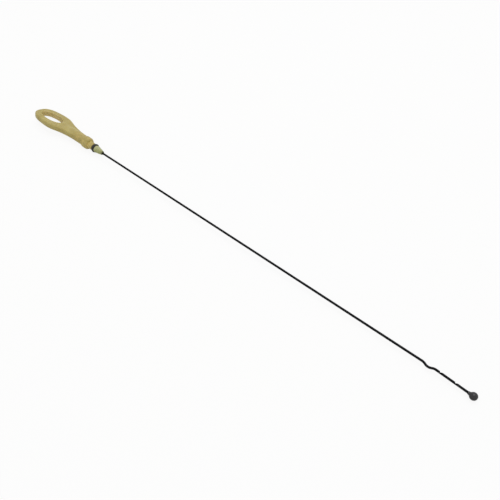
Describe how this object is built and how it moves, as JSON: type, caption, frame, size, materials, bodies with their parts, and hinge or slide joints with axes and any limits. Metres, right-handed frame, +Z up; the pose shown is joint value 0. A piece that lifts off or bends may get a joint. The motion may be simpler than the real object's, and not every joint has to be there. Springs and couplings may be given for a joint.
{
  "type": "engine oil dipstick",
  "caption": "Engine oil dipstick: moulded loop handle with collar, sealing ring and tapered nose on a long thin black wire, with a kink, level notches and a ball end.",
  "frame": {"origin": "centre of the collar's seating face, which stops on the mouth of the dipstick tube, on the handle's centre line", "axes": "+X towards the tip along the floor line from collar to ball, +Z up; the dipstick lies on its side as it comes to rest, on its collar, its ball and one edge of the loop"},
  "size_m": [0.566, 0.0321, 0.0136],
  "materials": {
    "handle_plastic": "satin moulded, aged cream yellow",
    "seal_rubber": "matte black with a thin film of oil",
    "coated_wire": "black oxide on spring steel, satin",
    "ball_plastic": "black, semi-gloss"
  },
  "bodies": {
    "root": {"handle": "handle_plastic", "o_ring": "seal_rubber", "wire": "coated_wire", "end_ball": "ball_plastic"}
  },
  "joints": []
}
